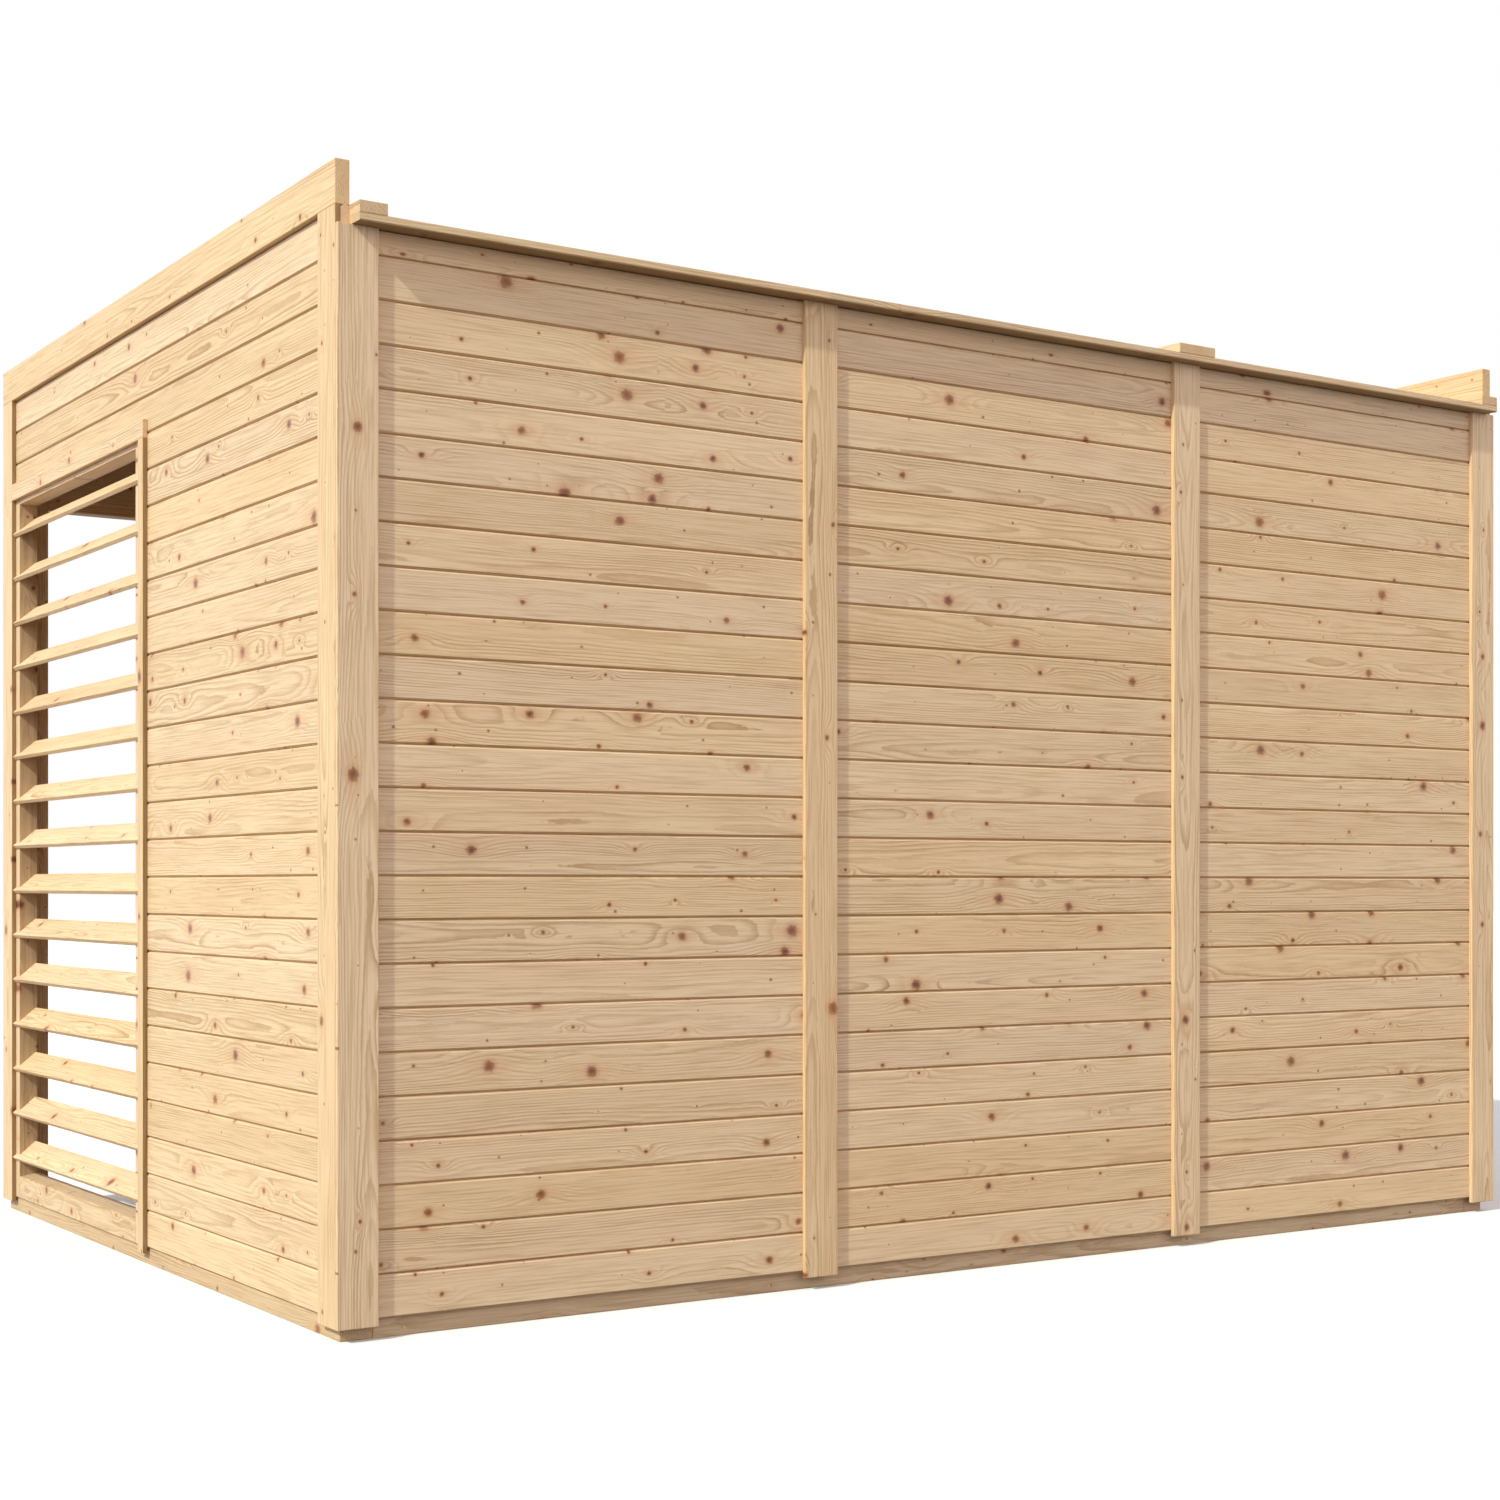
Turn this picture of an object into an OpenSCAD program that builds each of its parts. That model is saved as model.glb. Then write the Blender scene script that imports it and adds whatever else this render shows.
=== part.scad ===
// Flat-roofed timber garden pavilion: an open front, a closed rear wall in
// three bays, and side walls that are half boarded and half louvred.
// Millimetres. X runs along the rear wall, the open front faces -Y, Z is up.
// The origin is on the ground at the middle of the pavilion's own box.

/* [Overall size] */
// Length over the corner trims, along X
pavilion_length = 3430; // [2600:10:4400]
// Depth over the front and rear trims, along Y
pavilion_depth = 2330; // [2100:10:3200]
// How far the roof boards stand out past the rear trims
eave_overhang = 37; // [20:1:90]

/* [Wall boards] */
// Visible height of one tongue-and-groove board
board_cover = 88; // [70:1:115]
// Thickness of the wall boards
board_t = 19; // [14:1:32]
// Board rows below the head of the louvres
rows_below_head = 22; // [19:1:24]
// Board rows above the head of the louvres
rows_above_head = 3; // [2:1:4]

/* [Base] */
// Height of the base rails, which is also the bottom of the boards
base_h = 40; // [30:1:90]
// Width of the base rails
base_w = 70; // [60:1:110]
// Distance of the rear base rail behind the outer face of the trims
base_setback = 30; // [20:1:36]
// The same distance for the base rails of the sides
base_side_setback = 18; // [14:1:30]

/* [Posts and beams] */
// Side of the square posts behind the rear wall
post_size = 60; // [45:1:90]
// Width of a front corner post, across the open front
front_post_w = 96; // [80:1:130]
// Depth of a front corner post
front_post_depth = 52; // [45:1:80]
// Height of the plate that lies on the rear posts
plate_h = 60; // [45:1:90]
// Thickness of the beam over the open front
front_beam_t = 45; // [36:1:60]
// Height of the beam over the open front
front_beam_h = 131; // [100:1:150]
// Width of the rafters
rafter_w = 45; // [36:1:70]

/* [Trims] */
// Width of the cover trims
trim_w = 88; // [70:1:120]
// Thickness of the cover trims
trim_t = 12; // [8:1:20]
// Height of the trims' lower ends above the ground
trim_foot = 28; // [10:1:36]
// Width of the upright trim behind the louvres
louvre_trim_w = 37; // [30:1:60]
// Height of the trim over the louvres and over the open front
head_trim_h = 45; // [36:1:60]
// How much of the head rail shows below that trim
head_trim_rise = 13; // [6:1:20]

/* [Louvres] */
// Distance from the rear trims' face to the louvres' upright trim
louvre_start = 1151; // [900:1:1300]
// Width of the rear stile of the louvre frame
rear_stile_w = 70; // [60:1:100]
// How much of the front stile shows beside the corner trim
front_stile_show = 32; // [20:1:50]
// Depth of the louvre frame, from outside to inside
louvre_frame_depth = 50; // [40:1:80]
// Thickness of the head rails
head_rail_h = 26; // [20:1:40]
// Height of the sill rail at its inner edge
sill_h = 67; // [50:1:100]
// Fall of the sill rail towards the outside
sill_fall = 8; // [0:1:15]
// Number of louvre slats on each side
slat_count = 15; // [10:1:17]
// Width of a slat, measured along its slope
slat_w = 70; // [60:1:80]
// Thickness of a slat
slat_t = 11; // [8:1:20]
// Slope of the slats, outer edge down
slat_tilt = 40; // [30:1:55]
// Distance of a slat's outer edge behind the outer face of the trims
slat_inset = 2; // [0:1:6]

/* [Roof] */
// Height of the parapet board above the wall boards
parapet_h = 90; // [80:1:140]
// Distance from the top of the side walls down to the eave
eave_drop = 38; // [30:1:60]
// Fall of the roof towards the rear, in millimetres per metre
roof_fall = 26; // [15:1:30]
// Thickness of the roof boards
deck_t = 16; // [14:1:22]
// Width of one roof batten
batten_w = 60; // [40:1:90]
// Height of the roof battens
batten_h = 24; // [16:1:28]

/* [Hidden] */

wood_light = [0.93, 0.80, 0.60];
wood_mid = [0.88, 0.74, 0.54];
wood_dark = [0.80, 0.65, 0.46];

half_length = pavilion_length / 2;
// Outer faces of the rear and front trims; the eave makes the box unequal
rear_face = (pavilion_depth - eave_overhang) / 2;
front_face = -(pavilion_depth + eave_overhang) / 2;

// Depths behind the trims' outer face: board face and board back
wall_face = trim_t;
wall_back = trim_t + board_t;

// Heights above the ground
board_bottom = base_h;
head_level = board_bottom + rows_below_head * board_cover;
wall_top = head_level + rows_above_head * board_cover;
parapet_top = wall_top + parapet_h;
opening_top = head_level - head_rail_h;
head_trim_bottom = opening_top + head_trim_rise;
eave_level = wall_top - eave_drop;
beam_top = head_level + front_beam_h;

// Places along the side walls, measured forward from the rear trims' face
louvre_trim_end = louvre_start + louvre_trim_w;
rear_stile_start = louvre_start + louvre_trim_w / 2;
louvre_open_start = rear_stile_start + rear_stile_w;
front_trim_start = pavilion_depth - trim_w;
louvre_open_end = front_trim_start - front_stile_show;
front_post_start = pavilion_depth - wall_face - front_post_depth;
frame_back = wall_face + louvre_frame_depth;

// Places along the rear wall, measured from the right-hand end
bay = (pavilion_length - trim_w) / 3;
joint_1 = trim_w / 2 + bay;
joint_2 = trim_w / 2 + 2 * bay;

// The roof boards lie on a plane that rises towards the front
roof_slope = roof_fall / 1000;
roof_front = pavilion_depth - wall_back;
function deck_level(forward) = eave_level + forward * roof_slope;

// Louvre slats share the opening between the sill and the head equally
sill_top = board_bottom + sill_h;
slat_pitch = (opening_top - sill_top) / slat_count;
slat_rise = slat_w * sin(slat_tilt) + slat_t * cos(slat_tilt);

// Box given by its distances inward from the right-hand end, forward from
// the rear trims' face, and its heights
module timber(inward, forward, height) {
    translate([half_length - inward[1], rear_face - forward[1], height[0]])
        cube([inward[1] - inward[0], forward[1] - forward[0], height[1] - height[0]]);
}

// Copies a right-hand piece to the left-hand end when side is -1
module on_side(side) {
    if (side > 0) children();
    else mirror([1, 0, 0]) children();
}

// Length of timber along X with a profile in forward distance and height
module profile_along_x(inward, points) {
    translate([half_length - inward[1], rear_face, 0])
        rotate([90, 0, 90])
            linear_extrude(height = inward[1] - inward[0])
                polygon([for (p = points) [-p[0], p[1]]]);
}

// Base rails
module base_rear() color(wood_dark)
    timber([base_side_setback + base_w, pavilion_length - base_side_setback - base_w],
           [base_setback, base_setback + base_w], [0, base_h]);

module base_side(side) color(wood_dark) on_side(side)
    timber([base_side_setback, base_side_setback + base_w],
           [base_setback, pavilion_depth - wall_face], [0, base_h]);

// Posts
module rear_post(middle) {
    timber([middle - post_size / 2, middle + post_size / 2],
           [wall_back, wall_back + post_size], [base_h, beam_top - plate_h]);
}

module rear_corner_posts() color(wood_mid)
    for (side = [1, -1]) on_side(side) rear_post(wall_back + post_size / 2);

module rear_wall_posts() color(wood_mid)
    for (middle = [joint_1, joint_2]) rear_post(middle);

module front_post(side) color(wood_mid) on_side(side)
    timber([wall_face, wall_face + front_post_w],
           [front_post_start, pavilion_depth - wall_face], [base_h, wall_top]);

// Wall boards, one slab for each bay
module rear_boards(from, to) color(wood_light)
    timber([from, to], [wall_face, wall_back], [board_bottom, eave_level]);

module side_boards(side) color(wood_light) on_side(side)
    timber([wall_face, wall_back], [wall_face, rear_stile_start], [board_bottom, head_level]);

module upper_boards(side) color(wood_light) on_side(side)
    timber([wall_face, wall_back], [wall_face, front_post_start], [head_level, wall_top]);

front_open_start = wall_face + front_post_w;

module front_header_boards() color(wood_light)
    timber([front_open_start, pavilion_length - front_open_start],
           [pavilion_depth - wall_back, pavilion_depth - wall_face], [head_level, wall_top]);

module front_head_rail() color(wood_mid)
    timber([front_open_start, pavilion_length - front_open_start],
           [front_post_start, pavilion_depth - wall_face], [opening_top, head_level]);

module front_beam() color(wood_mid)
    timber([front_open_start, pavilion_length - front_open_start],
           [roof_front - front_beam_t, roof_front], [head_level, beam_top]);

// Louvre frame
module louvre_stiles(side) color(wood_mid) on_side(side) {
    timber([wall_face, frame_back], [rear_stile_start, louvre_open_start], [base_h, head_level]);
    timber([wall_face, frame_back], [louvre_open_end, front_post_start], [base_h, head_level]);
}

module louvre_head(side) color(wood_mid) on_side(side)
    timber([wall_face, frame_back], [louvre_open_start, louvre_open_end], [opening_top, head_level]);

module louvre_sill(side) color(wood_mid) on_side(side)
    translate([half_length, rear_face - louvre_open_end, 0])
        rotate([90, 0, 180])
            linear_extrude(height = louvre_open_end - louvre_open_start)
                polygon([
                    [wall_face, board_bottom],
                    [frame_back, board_bottom],
                    [frame_back, sill_top],
                    [wall_face, sill_top - sill_fall]
                ]);

// One slat: a sloping board whose outer edge laps over the stiles
module slat(level) {
    translate([half_length - slat_inset, rear_face, level + slat_t * cos(slat_tilt)])
        rotate([0, slat_tilt, 0])
            translate([-slat_w, -front_trim_start, -slat_t])
                cube([slat_w, front_trim_start - louvre_trim_end, slat_t]);
}

module louvre_slats(side) color(wood_light) on_side(side)
    difference() {
        for (i = [0 : slat_count - 1])
            slat(sill_top + slat_pitch * (i + 0.5) - slat_rise / 2);
        timber([wall_face, frame_back + slat_w], [louvre_start, louvre_open_start],
               [0, head_level]);
        timber([wall_face, frame_back + slat_w], [louvre_open_end, front_post_start],
               [0, head_level]);
    }

// Cover trims
module rear_trim(from) {
    timber([from, from + trim_w], [0, wall_face], [trim_foot, eave_level]);
}

module rear_corner_trims() color(wood_light)
    for (side = [1, -1]) on_side(side) rear_trim(0);

module rear_joint_trims() color(wood_light)
    for (middle = [joint_1, joint_2]) rear_trim(middle - trim_w / 2);

module side_corner_trims(side) color(wood_light) on_side(side) {
    timber([0, trim_t], [wall_face, wall_face + trim_w], [trim_foot, wall_top]);
    timber([0, trim_t], [front_trim_start, pavilion_depth], [trim_foot, wall_top]);
}

module louvre_upright_trims() color(wood_light)
    for (side = [1, -1]) on_side(side)
        timber([0, trim_t], [louvre_start, louvre_trim_end], [trim_foot, head_trim_bottom]);

module louvre_head_trims() color(wood_light)
    for (side = [1, -1]) on_side(side)
        timber([0, trim_t], [louvre_start, front_trim_start],
               [head_trim_bottom, head_trim_bottom + head_trim_h]);

module front_corner_trims() color(wood_light)
    for (side = [1, -1]) on_side(side)
        timber([wall_face, wall_face + trim_w],
               [pavilion_depth - trim_t, pavilion_depth], [trim_foot, wall_top]);

module front_head_trim() color(wood_light)
    timber([wall_face + trim_w, pavilion_length - wall_face - trim_w],
           [pavilion_depth - trim_t, pavilion_depth],
           [head_trim_bottom, head_trim_bottom + head_trim_h]);

// Roof frame
module rear_plate() color(wood_mid)
    timber([wall_back, pavilion_length - wall_back],
           [wall_back, wall_back + post_size], [beam_top - plate_h, beam_top]);

module rafter(from, front_end) {
    profile_along_x([from, from + rafter_w], [
        [wall_back, beam_top],
        [front_end, beam_top],
        [front_end, deck_level(front_end)],
        [wall_back, deck_level(wall_back)]
    ]);
}

module rafters_side() color(wood_mid)
    for (side = [1, -1]) on_side(side) rafter(wall_back, roof_front - front_beam_t);

module rafters_middle() color(wood_mid)
    for (middle = [joint_1, joint_2]) rafter(middle - rafter_w / 2, roof_front);

// Roof boards, battens and parapet
module on_roof(inward, rise, thickness) {
    profile_along_x(inward, [
        [-eave_overhang, deck_level(-eave_overhang) + rise],
        [roof_front, deck_level(roof_front) + rise],
        [roof_front, deck_level(roof_front) + rise + thickness],
        [-eave_overhang, deck_level(-eave_overhang) + rise + thickness]
    ]);
}

module roof_deck(from, to) color(wood_mid) on_roof([from, to], 0, deck_t);

module roof_battens_side() color(wood_light)
    for (side = [1, -1]) on_side(side)
        on_roof([wall_back, wall_back + batten_w], deck_t, batten_h);

module roof_batten_middle() color(wood_light)
    on_roof([joint_2 - batten_w, joint_2 + batten_w], deck_t, batten_h);

module parapet(side) color(wood_light) on_side(side)
    timber([0, wall_back], [wall_face, pavilion_depth], [wall_top, parapet_top]);

module parapet_front() color(wood_light)
    timber([wall_back, pavilion_length - wall_back],
           [roof_front, pavilion_depth], [wall_top, parapet_top]);

base_rear();
base_side(1);  // base_right
base_side(-1);  // base_left
rear_corner_posts();
rear_wall_posts();
front_post(1);  // front_post_right
front_post(-1);  // front_post_left
rear_boards(wall_back, joint_1);  // rear_boards_right
rear_boards(joint_1, joint_2);  // rear_boards_middle
rear_boards(joint_2, pavilion_length - wall_back);  // rear_boards_left
side_boards(1);  // side_boards_right
side_boards(-1);  // side_boards_left
upper_boards(1);  // upper_boards_right
upper_boards(-1);  // upper_boards_left
front_header_boards();
front_head_rail();
front_beam();
louvre_stiles(1);  // louvre_stiles_right
louvre_stiles(-1);  // louvre_stiles_left
louvre_head(1);  // louvre_head_right
louvre_head(-1);  // louvre_head_left
louvre_sill(1);  // louvre_sill_right
louvre_sill(-1);  // louvre_sill_left
louvre_slats(1);  // louvre_slats_right
louvre_slats(-1);  // louvre_slats_left
rear_corner_trims();
rear_joint_trims();
side_corner_trims(1);  // side_corner_trims_right
side_corner_trims(-1);  // side_corner_trims_left
louvre_upright_trims();
louvre_head_trims();
front_corner_trims();
front_head_trim();
rear_plate();
rafters_side();
rafters_middle();
roof_deck(wall_back, joint_1);  // roof_deck_right
roof_deck(joint_1, joint_2);  // roof_deck_middle
roof_deck(joint_2, pavilion_length - wall_back);  // roof_deck_left
parapet(1);  // parapet_right
parapet(-1);  // parapet_left
parapet_front();
roof_battens_side();
roof_batten_middle();
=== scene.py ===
import math
import random

import bmesh
import bpy
from mathutils import Matrix, Vector


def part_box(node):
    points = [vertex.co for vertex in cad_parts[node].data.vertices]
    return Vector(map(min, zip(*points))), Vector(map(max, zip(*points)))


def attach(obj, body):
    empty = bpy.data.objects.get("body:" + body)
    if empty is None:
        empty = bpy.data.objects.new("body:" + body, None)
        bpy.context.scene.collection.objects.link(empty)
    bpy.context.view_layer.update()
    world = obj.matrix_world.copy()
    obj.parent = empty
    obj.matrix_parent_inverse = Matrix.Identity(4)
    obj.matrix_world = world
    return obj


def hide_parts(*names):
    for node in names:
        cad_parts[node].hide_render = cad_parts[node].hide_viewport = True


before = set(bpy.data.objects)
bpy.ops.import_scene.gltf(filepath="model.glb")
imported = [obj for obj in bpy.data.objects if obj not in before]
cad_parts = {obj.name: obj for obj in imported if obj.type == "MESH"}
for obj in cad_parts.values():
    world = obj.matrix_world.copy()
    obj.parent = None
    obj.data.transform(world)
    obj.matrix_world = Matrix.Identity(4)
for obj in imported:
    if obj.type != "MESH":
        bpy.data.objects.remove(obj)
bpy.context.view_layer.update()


# ---------------------------------------------------------------- base rails
# The ground rails that the walls stand on: planed spruce, laid flat under both
# sides and the rear, set back behind the trims. The open front has none.

class Wire:
    """One output of a shader node. Arithmetic on it adds Math nodes."""

    def __init__(self, finish, node, output=0):
        self.finish = finish
        self.node = node
        self.socket = node.outputs[output]

    def out(self, output):
        return Wire(self.finish, self.node, output)

    def math(self, operation, *others):
        """A Math node with this value first and the others after it."""
        return self.finish.node("ShaderNodeMath", {"operation": operation},
                                dict(enumerate((self, *others))))

    def __add__(self, other):
        return self.math("ADD", other)

    def __sub__(self, other):
        return self.math("SUBTRACT", other)

    def __rsub__(self, other):
        return self.finish.node("ShaderNodeMath", {"operation": "SUBTRACT"}, {0: other, 1: self})

    def __mul__(self, other):
        return self.math("MULTIPLY", other)

    def __truediv__(self, other):
        return self.math("DIVIDE", other)

    __radd__ = __add__
    __rmul__ = __mul__


class Finish:
    """The nodes of a material or a world under construction."""

    def __init__(self, owner):
        owner.use_nodes = True
        self.owner = owner
        self.tree = owner.node_tree
        self.tree.nodes.clear()

    def node(self, kind, settings, inputs, output=0):
        """Adds a node: its settings first, then the values or links of its sockets."""
        node = self.tree.nodes.new(kind)
        for name, value in settings.items():
            setattr(node, name, value)
        for name, value in inputs.items():
            socket = node.inputs[name]
            if isinstance(value, Wire):
                self.tree.links.new(value.socket, socket)
            elif socket.type == "RGBA":
                socket.default_value = (*value, 1.0)
            else:
                socket.default_value = value
        return Wire(self, node, output) if len(node.outputs) else None

    def mark(self, name):
        """A number that the mesh keeps for each of its points or faces."""
        return self.node("ShaderNodeAttribute", {"attribute_name": name}, {}, "Fac")

    def point(self, x, y, z):
        return self.node("ShaderNodeCombineXYZ", {}, {"X": x, "Y": y, "Z": z})

    def noise(self, point, detail=2.0, roughness=0.5):
        """Noise from -0.5 to 0.5."""
        cloud = self.node("ShaderNodeTexNoise", {"noise_dimensions": "3D"},
                          {"Vector": point, "Scale": 1.0, "Detail": detail, "Roughness": roughness})
        return cloud - 0.5

    def draws(self, seed):
        """Three numbers from 0 to 1 that stay the same for one seed."""
        white = self.node("ShaderNodeTexWhiteNoise", {"noise_dimensions": "1D"}, {"W": seed}, "Color")
        split = self.node("ShaderNodeSeparateColor", {}, {"Color": white})
        return split, split.out(1), split.out(2)

    def ease(self, value, low, high):
        """0 up to low, 1 from high, smooth between them."""
        return self.node("ShaderNodeMapRange", {"interpolation_type": "SMOOTHSTEP"},
                         {"Value": value, "From Min": low, "From Max": high})

    def tint(self, factor, a, b, blend="MIX"):
        """Colour a, turned into colour b or multiplied by it as far as factor says."""
        return self.node("ShaderNodeMix", {"data_type": "RGBA", "blend_type": blend},
                         {0: factor, 6: a, 7: b}, output=2)


def knots(f, along, across, run, rise, small, large, share, wobble):
    """Branch ends: one knot or none in each cell of run by rise metres, small to large in radius.
    Gives how far each point is from its knot, in radii, round and drawn out along the grain, and
    a number from 0 to 1 for each knot."""
    spot = f.point(along / run, across / rise, 0.0)
    cell = f.node("ShaderNodeTexVoronoi", {"voronoi_dimensions": "2D", "feature": "F1"},
                  {"Vector": spot, "Scale": 1.0, "Randomness": 0.85}, "Position")
    gap = f.node("ShaderNodeVectorMath", {"operation": "SUBTRACT"}, {0: spot, 1: cell})
    gap = f.node("ShaderNodeSeparateXYZ", {}, {"Vector": gap})
    draw = f.node("ShaderNodeSeparateColor", {}, {"Color": cell.out("Color")})
    radius = draw * draw * (large - small) + small
    missing = draw.out(1).math("GREATER_THAN", share) * 100.0
    x = gap * run
    y = gap.out(1) * rise
    near = (x * x / 1.25 + y * y).math("SQRT") / radius + wobble + missing
    drawn = (x * x / 8.0 + y * y).math("SQRT") / radius + missing
    return near, drawn, draw.out(2)


def spruce(name, width, ring=0.0044, tone=1.0, joint=0.86, knotty=0.52, rough=0.6):
    """Planed spruce that reads each timber's own grain, timber, arris, end and painted-shade attributes.
    Width is the face's, ring the spacing of the years, joint how much darker the arrises are painted, as
    painted shade."""
    f = Finish(bpy.data.materials.new(name))
    grain = f.node("ShaderNodeAttribute", {"attribute_name": "grain"}, {}, "Vector")
    axes = f.node("ShaderNodeSeparateXYZ", {}, {"Vector": grain})
    # the last of these marks the faces that get painted shade
    timber, arris, end, sawn = (f.mark(name) for name in ("timber", "arris", "end", "sawn"))
    side, depth, lean = f.draws(timber * 733.0)
    shade, warmth, figure = f.draws(timber * 733.0 + 19.0)
    along = axes + timber * 57.0
    across, deep = axes.out(1), axes.out(2)

    # knots, large ones and pin knots, which don't show on a cut end
    wobble = f.noise(f.point(along * 95.0, across * 130.0, deep * 40.0)) * 0.95 + end * 50.0
    big, big_drawn, big_red = knots(
        f, along, across + timber * 31.0, run=0.24, rise=width * 0.72,
        small=0.0035, large=0.0135, share=knotty, wobble=wobble)
    pin, pin_drawn, _ = knots(
        f, along + 7.7, across + timber * 17.0, run=0.105, rise=width * 0.5,
        small=0.0012, large=0.0034, share=0.22, wobble=wobble)

    # growth rings round a pith that lies behind the timber, and bends with the stem
    swell = f.noise(f.point(along * 1.5, across * 7.0, deep * 7.0)) * 0.03
    ripple = f.noise(f.point(along * 9.0, across * 60.0, deep * 60.0)) * 0.0030
    jag = f.noise(f.point(along * 55.0, across * 150.0, deep * 150.0), 1.0) * 0.0011
    beside = across - (side - 0.5) * 0.11
    behind = deep + 0.012 + depth * 0.05 + axes * (lean - 0.5) * 0.03
    radius = (beside * beside + behind * behind).math("SQRT")
    bulge = (big_drawn * big_drawn * -0.16).math("EXPONENT") * 2.6
    bulge = bulge + (pin_drawn * -0.6).math("EXPONENT") * 0.8
    rings = (radius + swell + ripple + jag) / ring + bulge
    turn = rings.math("FRACT")
    year = f.draws(rings.math("FLOOR") + timber * 91.0)

    # the dark late wood of each year, a sharper line in some, and the fibres
    patch = f.noise(f.point(along * 2.3, across * 16.0, deep * 16.0), 1.0) + 0.5
    shown = f.ease(patch + figure * 0.4, 0.2, 0.95)
    late = (f.ease(turn, 0.3, 0.9) - f.ease(turn, 0.9, 1.0)) * (year[0] * 0.7 + 0.3) * shown
    line = f.ease(turn, 0.74, 0.9) - f.ease(turn, 0.92, 1.0)
    line = line * f.ease(year[1], 0.5, 0.9) * f.ease(patch, 0.35, 0.8)
    fibre = f.noise(f.point(along * 6.0, across * 230.0, deep * 230.0), 3.0, 0.62)
    cloud = f.noise(f.point(along * 1.1, across * 9.0, deep * 9.0))

    # colour: clear wood, then grain, knots with their stained surround, ends, then painted shade on
    # chosen faces and on the arrises and joints
    light = tuple(c * tone for c in (0.808, 0.590, 0.372))
    pink = tuple(c * tone for c in (0.778, 0.530, 0.336))
    brown = tuple(c * tone for c in (0.470, 0.270, 0.125))
    late_line = (0.330, 0.165, 0.085)
    stain, rim = (0.690, 0.410, 0.225), (0.540, 0.290, 0.150)
    red_heart, dark_heart = (0.300, 0.110, 0.048), (0.165, 0.056, 0.027)
    heart_edge = (0.440, 0.205, 0.098)
    # the last of these colours is painted shade, multiplied onto the faces marked for it
    pin_knot, cut_end, painted_shade_colour = (0.230, 0.100, 0.048), (0.53, 0.33, 0.18), (0.44, 0.38, 0.30)
    colour = f.tint(f.ease(cloud + warmth * 0.3 + 0.1, 0.0, 0.6), light, pink)
    colour = f.tint(late * 0.9, colour, brown)
    colour = f.tint(line * 0.62, colour, late_line)
    colour = f.tint(f.ease(fibre, -0.06, 0.2) * 0.46, colour, brown)
    colour = f.tint((1 - f.ease(big_drawn, 0.7, 2.4)) * 0.5, colour, stain)
    colour = f.tint((1 - f.ease(big, 0.9, 1.9)) * 0.5 + (1 - f.ease(pin, 0.9, 2.4)) * 0.35, colour, rim)
    heart = f.tint(f.ease(big, 0.2, 1.0), f.tint(big_red, red_heart, dark_heart), heart_edge)
    colour = f.tint(1 - f.ease(big, 0.75, 1.15), colour, heart)
    colour = f.tint((1 - f.ease(pin, 0.6, 1.3)) * 0.85, colour, pin_knot)
    colour = f.tint(end * 0.3, colour, cut_end)
    # painted shade: faces marked for it, such as undersides, reveals and edges facing front or rear, are
    # multiplied darker
    colour = f.tint(sawn, colour, painted_shade_colour, "MULTIPLY")
    # painted shade: the arrises, and so the V of each joint, are multiplied darker and warmer, as far as
    # joint says
    colour = f.tint(arris, colour, (joint, joint * 0.91, joint * 0.76), "MULTIPLY")
    colour = f.node("ShaderNodeHueSaturation", {},
                    {"Hue": 0.5 + (warmth - 0.5) * 0.007, "Saturation": warmth * 0.08 + 0.965,
                     "Value": shade * 0.09 + 0.955, "Color": colour})

    in_knot = 1 - f.ease(big, 0.8, 1.2)
    relief = late * 0.5 + fibre * 0.35 + in_knot * 0.7
    bump = f.node("ShaderNodeBump", {}, {"Strength": 0.8, "Distance": 0.0008, "Height": relief})
    roughness = fibre * 0.22 + rough - in_knot * 0.18 + end * 0.15
    shader = f.node("ShaderNodeBsdfPrincipled", {},
                    {"Base Color": colour, "Roughness": roughness, "Normal": bump,
                     "Specular IOR Level": 0.28})
    f.node("ShaderNodeOutputMaterial", {}, {"Surface": shader})
    return f.owner


def solids(mesh):
    """The separate timbers of a mesh, each as a list of its points, from low to high."""
    left = set(mesh.verts)
    found = []
    while left:
        group = [left.pop()]
        for vert in group:
            for edge in vert.link_edges:
                other = edge.other_vert(vert)
                if other in left:
                    left.remove(other)
                    group.append(other)
        found.append(group)
    middle = lambda group: tuple(round(sum(v.co[i] for v in group) / len(group), 4) for i in range(3))
    return sorted(found, key=middle)


def lay_grain(mesh, name, outward=None, tilt=0.0, numbered=True):
    """Gives each timber its grain: metres along it, across its face, and into it.
    outward is the axis its face looks along; tilt turns a timber that lies aslant about Y."""
    draw = random.Random(name)
    grain = mesh.verts.layers.float_vector.new("grain")
    end = mesh.faces.layers.float.new("end")
    timber = mesh.verts.layers.float.new("timber") if numbered else None
    turn = Matrix.Rotation(-tilt, 3, "Y")
    for group in solids(mesh):
        places = [turn @ v.co for v in group]
        low = [min(p[i] for p in places) for i in range(3)]
        high = [max(p[i] for p in places) for i in range(3)]
        order = sorted(range(3), key=lambda i: low[i] - high[i])
        if outward is not None:
            order = [i for i in order if i != "XYZ".index(outward)] + ["XYZ".index(outward)]
        number = draw.random()
        for vert, place in zip(group, places):
            vert[grain] = Vector([place[i] - (low[i] + high[i]) / 2 for i in order])
            if numbered:
                vert[timber] = number
        for face in {f for v in group for f in v.link_faces}:
            face[end] = 1.0 if abs((turn @ face.normal)[order[0]]) > 0.9 else 0.0


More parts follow.
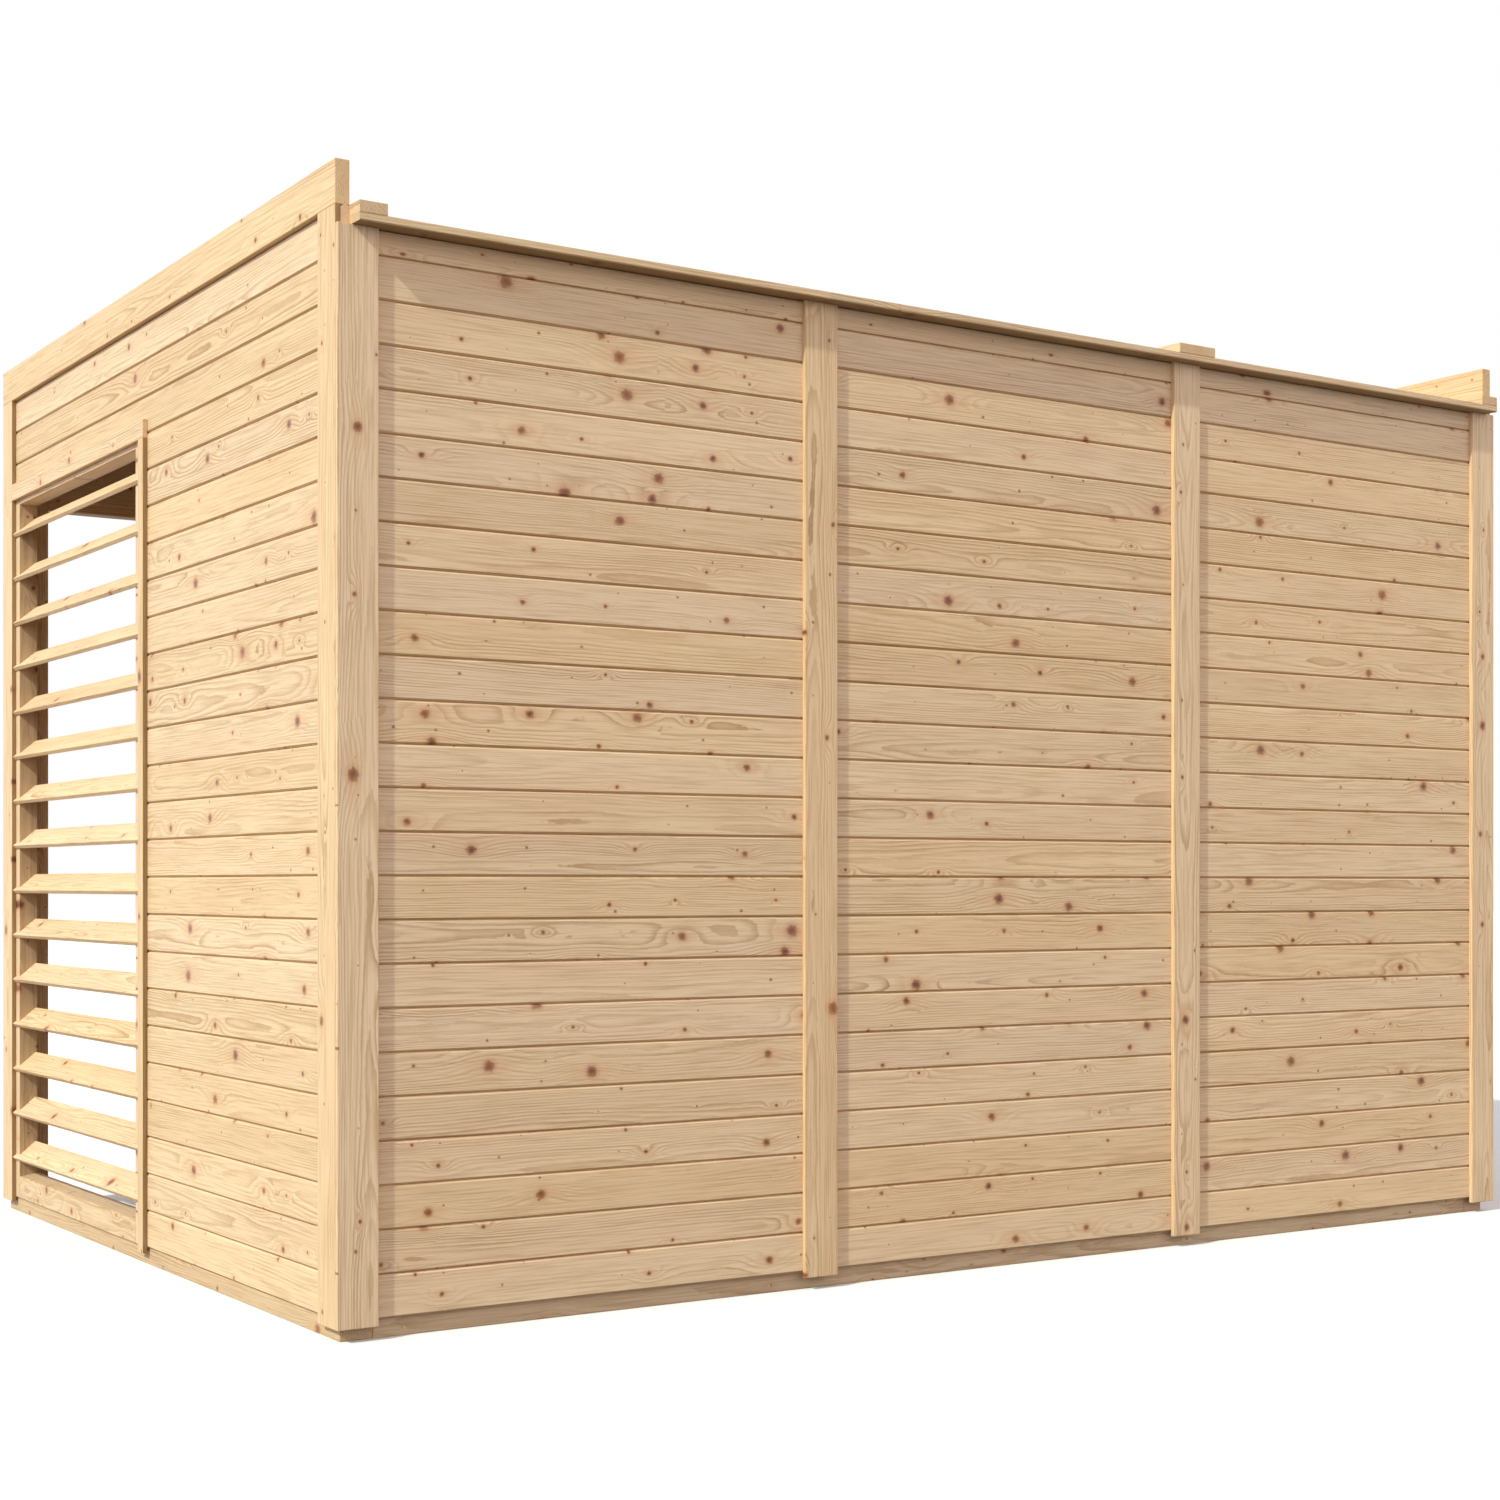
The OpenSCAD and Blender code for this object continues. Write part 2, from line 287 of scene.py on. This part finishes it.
def copy_solids(node, easing):
    """A CAD node's timbers with their triangles joined up and their edges eased."""
    mesh = bmesh.new()
    mesh.from_mesh(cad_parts[node].data)
    bmesh.ops.remove_doubles(mesh, verts=mesh.verts, dist=1e-5)
    bmesh.ops.dissolve_limit(mesh, angle_limit=0.01, verts=mesh.verts, edges=mesh.edges)
    bmesh.ops.recalc_face_normals(mesh, faces=mesh.faces)
    arris = mesh.faces.layers.float.new("arris")
    eased = bmesh.ops.bevel(mesh, geom=list(mesh.edges), offset=easing, segments=2,
                            profile=0.6, affect="EDGES")
    for face in eased["faces"]:
        face[arris] = 1.0
    mesh.normal_update()
    return mesh


def to_piece(name, mesh, finish=None):
    data = bpy.data.meshes.new(name)
    mesh.to_mesh(data)
    mesh.free()
    piece = bpy.data.objects.new(name, data)
    bpy.context.scene.collection.objects.link(piece)
    if finish:
        data.materials.append(finish)
    return piece


def stand_for(node, piece):
    """Hides the CAD node that a piece stands for, and keeps the piece's place on the one fixed body."""
    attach(piece, "root")
    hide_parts(node)


def dress(node, finish, easing=0.002, outward=None, sawn=None):
    """Makes the finished timbers that stand for one CAD node. Faces that look along one of the
    directions given, such as "+Y", are painted darker as painted shade, as strongly as its number says."""
    mesh = copy_solids(node, easing)
    lay_grain(mesh, node, outward)
    # painted shade: faces that look along a given direction are marked for darkening
    painted_shade_layer = mesh.faces.layers.float.new("sawn")
    for face in mesh.faces:
        for way, depth in (sawn or {}).items():
            if face.normal["XYZ".index(way[1])] * float(way[0] + "1") > 0.9:
                face[painted_shade_layer] = depth
    stand_for(node, to_piece(node + "_planed", mesh, finish))


rail_wood = spruce("spruce_base_rail", 0.07, tone=0.9, joint=0.95)
dress("base_rear", rail_wood, outward="Y")
dress("base_right", rail_wood, outward="X")
dress("base_left", rail_wood, outward="X")


# --------------------------------------------------------------- wall posts
# Planed square spruce posts, screwed up through the rails: two in the rear
# corners, two in the rear wall, and a deeper one at each front corner.

post_wood = spruce("spruce_post", 0.06, tone=0.95, joint=1.0)
for node in ("rear_corner_posts", "rear_wall_posts"):
    dress(node, post_wood, 0.003, outward="Y")
for node in ("front_post_right", "front_post_left"):
    dress(node, post_wood, 0.003, outward="Y")


# --------------------------------------------------------------- wall boards
# Tongued and grooved spruce boards, laid flat one on another and nailed to the
# posts. Both edges of the face are chamfered, which leaves a V at each joint.

cover = 0.088
chamfer = 0.0044
slit = 0.0005
tongue = 0.006
# painted shade: joint 0.8 paints the chamfers of each V darker and warmer
board_wood = spruce("spruce_board", cover, ring=0.0052, joint=0.8)


def repeated_timbers():
    """A tree that sets copies of a timber in a line, and numbers each at random."""
    tree = bpy.data.node_groups.new("repeated_timbers", "GeometryNodeTree")
    tree.is_modifier = True
    for name, kind in (("Timber", "Geometry"), ("Count", "Int"), ("Start", "Vector"), ("Step", "Vector"),
                       ("Last Size", "Vector"), ("Seed", "Int"), ("Finish", "Material")):
        tree.interface.new_socket(name, in_out="INPUT", socket_type="NodeSocket" + kind)
    tree.interface.new_socket("Timbers", in_out="OUTPUT", socket_type="NodeSocketGeometry")

    def node(kind, inputs, **settings):
        made = tree.nodes.new(kind)
        for name, value in settings.items():
            setattr(made, name, value)
        for name, value in inputs.items():
            if isinstance(value, bpy.types.NodeSocket):
                tree.links.new(value, made.inputs[name])
            else:
                made.inputs[name].default_value = value
        return made

    given = tree.nodes.new("NodeGroupInput").outputs
    line = node("GeometryNodeMeshLine",
                {"Count": given["Count"], "Start Location": given["Start"], "Offset": given["Step"]},
                mode="OFFSET", count_mode="TOTAL")
    last = node("ShaderNodeMath", {0: given["Count"], 1: 1.0}, operation="SUBTRACT")
    index = node("GeometryNodeInputIndex", {})
    is_last = node("ShaderNodeMath", {0: index.outputs[0], 1: last.outputs[0], 2: 0.1},
                   operation="COMPARE")
    size = node("ShaderNodeMix", {0: is_last.outputs[0], 4: (1.0, 1.0, 1.0), 5: given["Last Size"]},
                data_type="VECTOR")
    copies = node("GeometryNodeInstanceOnPoints",
                  {"Points": line.outputs[0], "Instance": given["Timber"], "Scale": size.outputs[1]})
    chance = node("FunctionNodeRandomValue", {"Seed": given["Seed"]}, data_type="FLOAT")
    chance_out = [s for s in chance.outputs if s.enabled][0]
    numbered = node("GeometryNodeStoreNamedAttribute",
                    {"Geometry": copies.outputs[0], "Name": "timber", "Value": chance_out},
                    data_type="FLOAT", domain="INSTANCE")
    joined = node("GeometryNodeRealizeInstances", {"Geometry": numbered.outputs[0]})
    finished = node("GeometryNodeSetMaterial",
                    {"Geometry": joined.outputs[0], "Material": given["Finish"]})
    result = tree.nodes.new("NodeGroupOutput")
    tree.links.new(finished.outputs[0], result.inputs[0])
    return tree


timber_line = repeated_timbers()


def repeat(piece, last_size=(1.0, 1.0, 1.0), **values):
    """Sets a piece's copies with the tree and keeps the result as one plain mesh."""
    values["last_size"] = last_size
    modifier = piece.modifiers.new("copies", "NODES")
    modifier.node_group = timber_line
    for socket in timber_line.interface.items_tree:
        key = socket.name.replace(" ", "_").lower()
        if socket.in_out == "INPUT" and key in values:
            modifier[socket.identifier] = values[key]
    bpy.context.view_layer.update()
    made = piece.evaluated_get(bpy.context.evaluated_depsgraph_get())
    mesh = bpy.data.meshes.new_from_object(made)
    piece.modifiers.remove(modifier)
    piece.data = mesh


def run_out(outline, length, height, plain, sawn_side=None):
    """A board along X from 0, planed to an outline of points in depth and height. The sides
    numbered in plain are its flat faces, the rest its worked edges; one more side, if given, is painted
    darker as painted shade."""
    mesh = bmesh.new()
    grain = mesh.verts.layers.float_vector.new("grain")
    arris = mesh.faces.layers.float.new("arris")
    end = mesh.faces.layers.float.new("end")
    sawn = mesh.faces.layers.float.new("sawn")
    rings = []
    for x in (0.0, length):
        ring = [mesh.verts.new((x, y, z)) for y, z in outline]
        for vert in ring:
            vert[grain] = Vector((vert.co.x - length / 2, vert.co.z - height / 2, vert.co.y))
        rings.append(ring)
    count = len(outline)
    for i in range(count):
        j = (i + 1) % count
        face = mesh.faces.new((rings[0][i], rings[0][j], rings[1][j], rings[1][i]))
        face[arris] = 0.0 if i in plain else 1.0
        # painted shade: the given side is marked for darkening
        face[sawn] = 0.9 if i == sawn_side else 0.0
    for ring in rings:
        face = mesh.faces.new(ring)
        face[end] = 1.0
    bmesh.ops.recalc_face_normals(mesh, faces=mesh.faces)
    return mesh


def matched_board(length, height, thickness):
    """One board along X from 0, its face towards -Y at 0, its lower joint at Z 0."""
    inner = 0.0015
    groove = tongue + 0.002
    bevel = chamfer * 0.9
    groove_sides = (0.35 * thickness, 0.65 * thickness)
    tongue_sides = (0.36 * thickness, 0.64 * thickness)
    outline = [(0.0, chamfer), (bevel, slit),
               (groove_sides[0], slit), (groove_sides[0], groove),
               (groove_sides[1], groove), (groove_sides[1], slit),
               (thickness - inner, slit), (thickness, inner),
               (thickness, height - inner), (thickness - inner, height - slit),
               (tongue_sides[1], height - slit), (tongue_sides[1], height + tongue),
               (tongue_sides[0], height + tongue), (tongue_sides[0], height - slit),
               (bevel, height - slit), (0.0, height - chamfer)]
    return run_out(outline, length, height, plain=(7, 14, 15))


def clad(node, faces, seed):
    """Fills a CAD node's box with boards whose face looks along faces."""
    low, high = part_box(node)
    size = high - low
    turn = {"+Y": 180, "-Y": 0, "+X": 90, "-X": -90}[faces]
    length, thickness = (size.x, size.y) if "Y" in faces else (size.y, size.x)
    corner = {"+Y": (high.x, high.y), "-Y": (low.x, low.y),
              "+X": (high.x, low.y), "-X": (low.x, high.y)}[faces]
    mesh = matched_board(length, cover, thickness)
    mesh.transform(Matrix.Translation((*corner, 0.0)) @ Matrix.Rotation(math.radians(turn), 4, "Z"))
    piece = to_piece(node + "_matched", mesh)
    rows = math.ceil(size.z / cover - 0.02)
    rest = size.z / cover - (rows - 1)
    repeat(piece, count=rows, start=(0.0, 0.0, low.z), step=(0.0, 0.0, cover),
           last_size=(1.0, 1.0, rest), seed=seed, finish=board_wood)
    stand_for(node, piece)


clad("rear_boards_right", "+Y", 3)
clad("rear_boards_middle", "+Y", 14)
clad("rear_boards_left", "+Y", 25)
clad("side_boards_right", "+X", 36)
clad("side_boards_left", "-X", 47)
clad("upper_boards_right", "+X", 58)
clad("upper_boards_left", "-X", 69)
clad("front_header_boards", "-Y", 80)


# ------------------------------------------------- beam over the open front
# A planed beam behind the header boards carries the roof across the opening,
# and a flat rail closes the header's underside.

dress("front_beam", post_wood, 0.003, outward="Y")
louvre_wood = spruce("spruce_louvre_frame", 0.056, joint=0.97)
dress("front_head_rail", louvre_wood, outward="Z")


# -------------------------------------------------------------- louvre frames
# In each side wall's front half a frame of stiles, head and sill holds the
# fixed slats. It is planed spruce, screwed to the posts and rails.

for side in ("right", "left"):
    # painted shade on the stiles' reveals facing front and rear, the heads' undersides and the sills'
    # tops
    dress("louvre_stiles_" + side, louvre_wood, outward="Y",
          sawn={"+Y": 0.6, "-Y": 0.6})
    dress("louvre_head_" + side, louvre_wood, outward="X", sawn={"-Z": 0.4})
    dress("louvre_sill_" + side, louvre_wood, outward="X", sawn={"+Z": 0.2})


# -------------------------------------------------------------- louvre slats
# Fifteen planed slats to a side, all alike, let into the stiles with the outer
# edge low to shed rain. Each one's nose runs on over the faces of the stiles.

slat_tilt = math.radians(40)
slat_wood = spruce("spruce_slat", 0.07, tone=1.03, joint=1.0, knotty=0.25)


def slats(node, tilt, seed):
    """Takes a CAD node's lowest slat and repeats it up the louvre."""
    mesh = copy_solids(node, 0.0014)
    groups = sorted(solids(mesh), key=lambda group: min(v.co.z for v in group))
    lowest = [min(v.co.z for v in group) for group in groups]
    pitch = (lowest[-1] - lowest[0]) / (len(groups) - 1)
    bmesh.ops.delete(mesh, geom=[v for group in groups[1:] for v in group], context="VERTS")
    lay_grain(mesh, node, outward="Z", tilt=tilt, numbered=False)
    piece = to_piece(node + "_planed", mesh)
    repeat(piece, count=len(groups), start=(0.0, 0.0, 0.0), step=(0.0, 0.0, pitch),
           seed=seed, finish=slat_wood)
    stand_for(node, piece)


slats("louvre_slats_right", slat_tilt, 91)
slats("louvre_slats_left", -slat_tilt, 102)


# -------------------------------------------------------------------- trims
# Thin planed boards nailed over the corners, the joints of the rear wall and
# round each louvre. Their edges stay nearly square.

trim_wood = spruce("spruce_trim", 0.088, joint=1.03, knotty=0.42)
for node in ("rear_corner_trims", "rear_joint_trims", "louvre_head_trims",
             "front_corner_trims", "front_head_trim"):
    dress(node, trim_wood, 0.0016)
# these trims get painted shade on their edges that face the front and the rear
for node in ("side_corner_trims_right", "side_corner_trims_left", "louvre_upright_trims"):
    dress(node, trim_wood, 0.0016, sawn={"+Y": 1.0, "-Y": 1.0})


# ------------------------------------------------------------- roof framing
# A wall plate on the rear posts and rafters on edge, cut to the fall of the
# roof, which drops towards the rear.

dress("rear_plate", post_wood, 0.003, outward="Y")
dress("rafters_side", post_wood, 0.002, outward="X")
dress("rafters_middle", post_wood, 0.002, outward="X")


# --------------------------------------------------------------- roof boards
# Thin boards laid across the rafters, butted over the middle ones, with a small
# V between them below. The lowest runs out past the rear wall as the eave.

# painted shade: joint 0.82 paints the chamfers of the V below each joint darker and warmer
roof_wood = spruce("spruce_roof_board", 0.09, tone=0.93, joint=0.82)
deck_thickness = 0.016
vee = 0.0024
ease = 0.0012


def deck(node, seed):
    """Fills a bay of the roof with boards, chamfered below, from the eave up to the front."""
    low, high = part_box(node)
    size = high - low
    rows = round(size.y / cover)
    width = size.y / rows
    fall = (size.z - deck_thickness) / size.y
    outline = [(0.0, vee), (vee, 0.0), (deck_thickness - ease, 0.0), (deck_thickness, ease),
               (deck_thickness, width - ease), (deck_thickness - ease, width), (vee, width),
               (0.0, width - vee)]
    # painted shade on the underside of each roof board
    mesh = run_out(outline, size.x, width, plain=(1, 3, 5, 7), sawn_side=7)
    mesh.transform(Matrix(((1, 0, 0, low.x), (0, 0, -1, 0), (0, 1, fall, 0), (0, 0, 0, 1))))
    piece = to_piece(node + "_laid", mesh)
    repeat(piece, count=rows, start=(0.0, high.y, low.z), step=(0.0, -width, fall * width),
           seed=seed, finish=roof_wood)
    stand_for(node, piece)


deck("roof_deck_right", 113)
deck("roof_deck_middle", 124)
deck("roof_deck_left", 135)


# --------------------------------------------------------- parapets, battens
# Wide planed boards on edge crown the side walls and the front, and hide the
# roof. Battens run down the roof at its sides and over the third joint.

for node in ("parapet_right", "parapet_left", "parapet_front"):
    dress(node, trim_wood, 0.002)
batten_wood = spruce("spruce_batten", 0.06, tone=0.97, joint=1.0, knotty=0.4)
for node in ("roof_battens_side", "roof_batten_middle"):
    dress(node, batten_wood, 0.0015, outward="Z")


# ------------------------------------------------------------ floor and light
# A plain white floor that keeps the shadow, a high sun-like key from the side,
# and an even pale sky.

floor_size = 60.0
floor_mesh = bmesh.new()
bmesh.ops.create_grid(floor_mesh, x_segments=1, y_segments=1, size=floor_size)
ground = Finish(bpy.data.materials.new("studio_floor"))
seen = ground.node("ShaderNodeLightPath", {}, {}, "Is Camera Ray")
seen = seen.math("MAXIMUM", seen.out("Is Glossy Ray"))
dull = ground.node("ShaderNodeBsdfDiffuse", {}, {"Color": (0.10, 0.097, 0.09)})
pale = ground.node("ShaderNodeBsdfDiffuse", {}, {"Color": (0.95, 0.95, 0.96)})
surface = ground.node("ShaderNodeMixShader", {}, {0: seen, 1: dull, 2: pale})
ground.node("ShaderNodeOutputMaterial", {}, {"Surface": surface})
to_piece("studio_floor", floor_mesh, ground.owner)

sun = bpy.data.lights.new("key", "SUN")
sun.energy = 3.12
sun.angle = math.radians(1.6)
sun.color = (0.90, 1.0, 0.87)
towards_sun = Vector((0.742, 0.218, 0.633))
key = bpy.data.objects.new("key", sun)
key.rotation_euler = towards_sun.to_track_quat("Z", "Y").to_euler()
bpy.context.scene.collection.objects.link(key)

at_horizon, overhead = 1.85, 0.18
bpy.context.scene.world = bpy.data.worlds.new("studio_sky")
sky = Finish(bpy.context.scene.world)
height = sky.node("ShaderNodeSeparateXYZ", {},
                  {"Vector": sky.node("ShaderNodeTexCoord", {}, {}, "Generated")}, "Z")
level = sky.node("ShaderNodeMapRange", {},
                 {"Value": height, "To Min": at_horizon, "To Max": overhead})
ambient = sky.node("ShaderNodeBackground", {}, {"Color": (0.965, 0.94, 0.97), "Strength": level})
white = sky.node("ShaderNodeBackground", {}, {"Color": (1.0, 1.0, 1.0)})
direct = sky.node("ShaderNodeLightPath", {}, {}, "Is Camera Ray")
surface = sky.node("ShaderNodeMixShader", {}, {0: direct, 1: ambient, 2: white})
sky.node("ShaderNodeOutputWorld", {}, {"Surface": surface})


# -------------------------------------------------------------------- camera
# Level, at about chest height, off the rear corner, so that uprights stay
# upright.

lens = bpy.data.cameras.new("view")
lens.sensor_width = 36.0
lens.lens = 55.79
lens.shift_y = 0.0897
lens.clip_end = 200.0
camera = bpy.data.objects.new("view", lens)
camera.location = (3.5404, 5.3921, 0.903)
camera.rotation_euler = (math.radians(90), 0.0, math.radians(146.67))
bpy.context.scene.collection.objects.link(camera)
bpy.context.scene.camera = camera
bpy.context.scene.view_settings.view_transform = "Standard"
